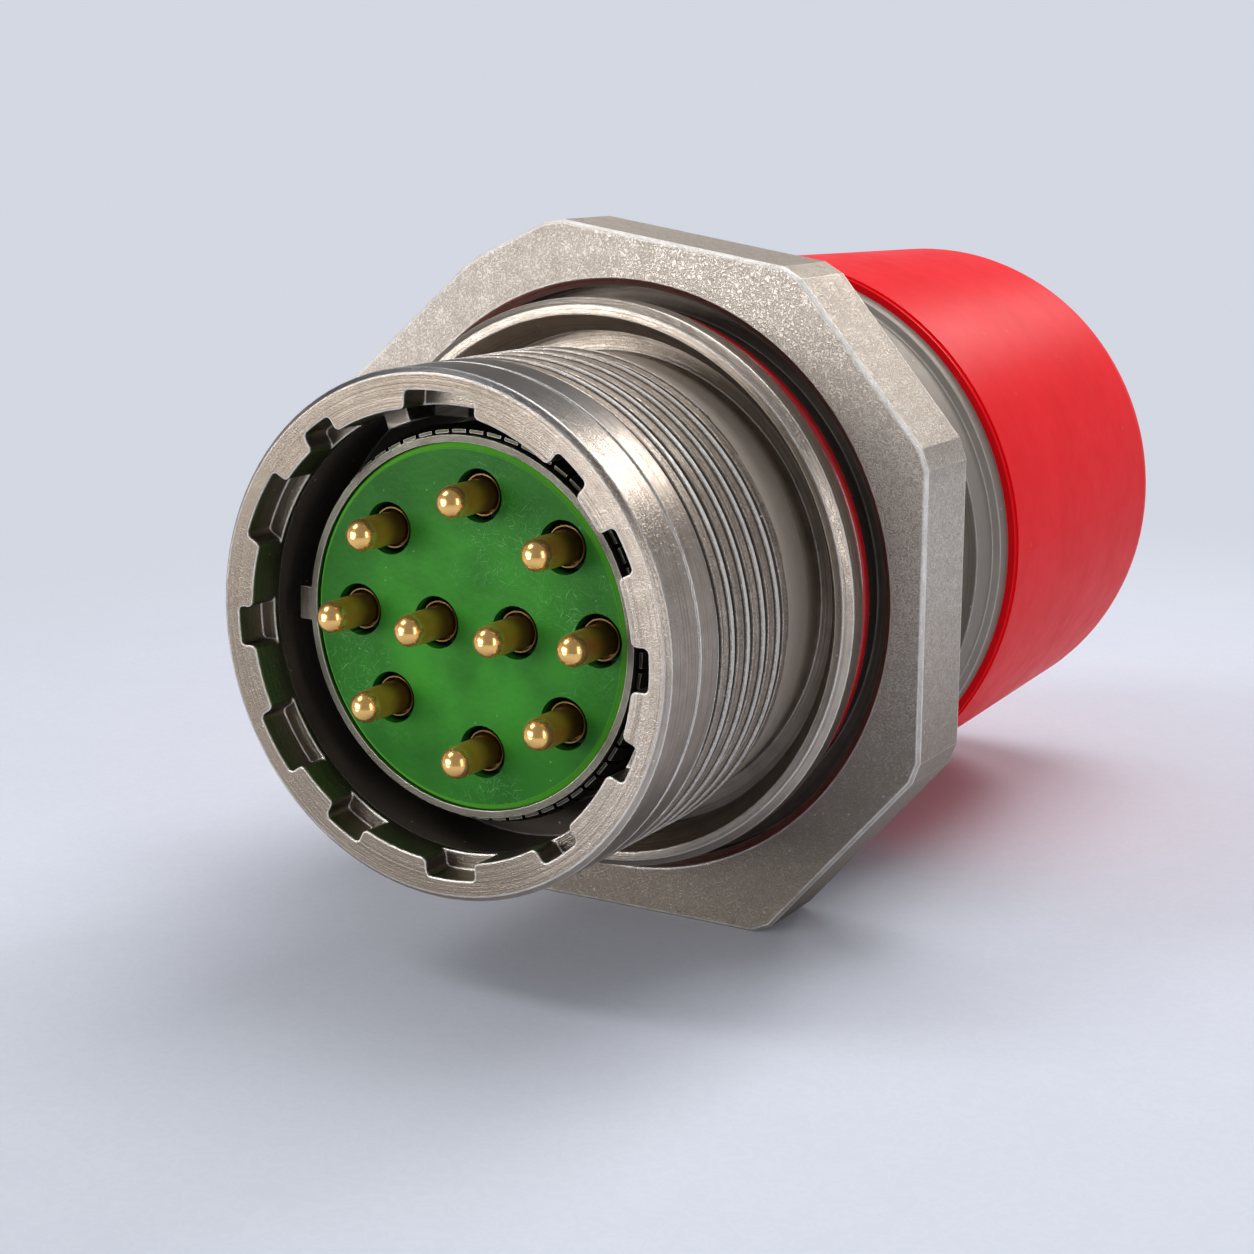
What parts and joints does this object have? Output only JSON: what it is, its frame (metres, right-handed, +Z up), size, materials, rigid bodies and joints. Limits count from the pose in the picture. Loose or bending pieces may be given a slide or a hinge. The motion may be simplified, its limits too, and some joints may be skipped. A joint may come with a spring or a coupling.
{
  "type": "circular connector receptacle",
  "caption": "Circular multi-pin panel receptacle with keyed mating lip, threaded barrel, flatted flange with O-ring seal, and a push-on rear dust cap.",
  "frame": {"origin": "on the connector's axis, in the plane of the flange's flat front face (the panel seat)", "axes": "-Y along the axis towards the mating end, +Y towards the wires and the dust cap, +Z up"},
  "size_m": [0.0372, 0.0633, 0.0388],
  "materials": {
    "passivated_steel": "bead-blasted and passivated, fine grain, worn bright edges",
    "sleeve_metal": "smooth turned metal",
    "spring_metal": "bright spring strip",
    "gold_plate": "satin gold plate",
    "green_plastic": "saturated green moulding with faint scratches",
    "dark_plastic": "dark hard moulding",
    "grommet_rubber": "soft dark seal",
    "red_rubber": "glossy red seal",
    "red_plastic": "semi-gloss soft red moulding"
  },
  "bodies": {
    "receptacle": {"shell": "passivated_steel", "panel_o_ring": "red_rubber", "insert_sleeve": "sleeve_metal", "grounding_fingers": "spring_metal", "front_insert": "green_plastic", "contact_carrier": "dark_plastic", "contact_clips": "spring_metal", "wire_grommet": "grommet_rubber", "snap_ring": "sleeve_metal", "contact_pin_01": "gold_plate", "contact_pin_02": "gold_plate", "contact_pin_03": "gold_plate", "contact_pin_04": "gold_plate", "contact_pin_05": "gold_plate", "contact_pin_06": "gold_plate", "contact_pin_07": "gold_plate", "contact_pin_08": "gold_plate", "contact_pin_09": "gold_plate", "contact_pin_10": "gold_plate"},
    "cap": {"dust_cap": "red_plastic"}
  },
  "joints": [
    {"name": "cap_pull_off", "type": "slide", "parent": "receptacle", "child": "cap", "axis": [0, 1, 0], "range_m": [0, 0.03]}
  ]
}
